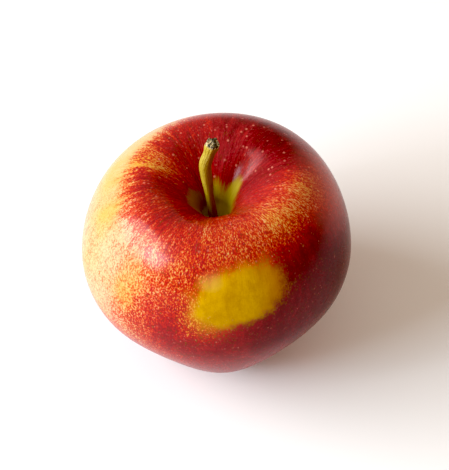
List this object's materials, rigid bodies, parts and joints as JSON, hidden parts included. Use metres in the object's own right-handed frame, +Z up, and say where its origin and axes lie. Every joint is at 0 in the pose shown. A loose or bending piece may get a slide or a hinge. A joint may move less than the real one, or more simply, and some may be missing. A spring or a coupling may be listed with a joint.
{
  "type": "apple",
  "caption": "Whole red and yellow apple with its woody stem in the top cavity and the dried calyx in the basin underneath.",
  "frame": {"origin": "on the surface it rests on, under the middle of the fruit's outline", "axes": "+Z up, the stem's side; -Y is the front, the side with the large yellow patch, and +X is to the right of it"},
  "size_m": [0.078, 0.0772, 0.0729],
  "materials": {
    "skin": "waxy red skin over yellow, satin gloss",
    "stem": "ribbed, matte",
    "sepal": "dry, downy",
    "stamen": "dry, dark"
  },
  "bodies": {
    "root": {"fruit": "skin", "stem": "stem", "sepal_1": "sepal", "sepal_2": "sepal", "sepal_3": "sepal", "sepal_4": "sepal", "sepal_5": "sepal", "stamen_tuft": "stamen"}
  },
  "joints": []
}
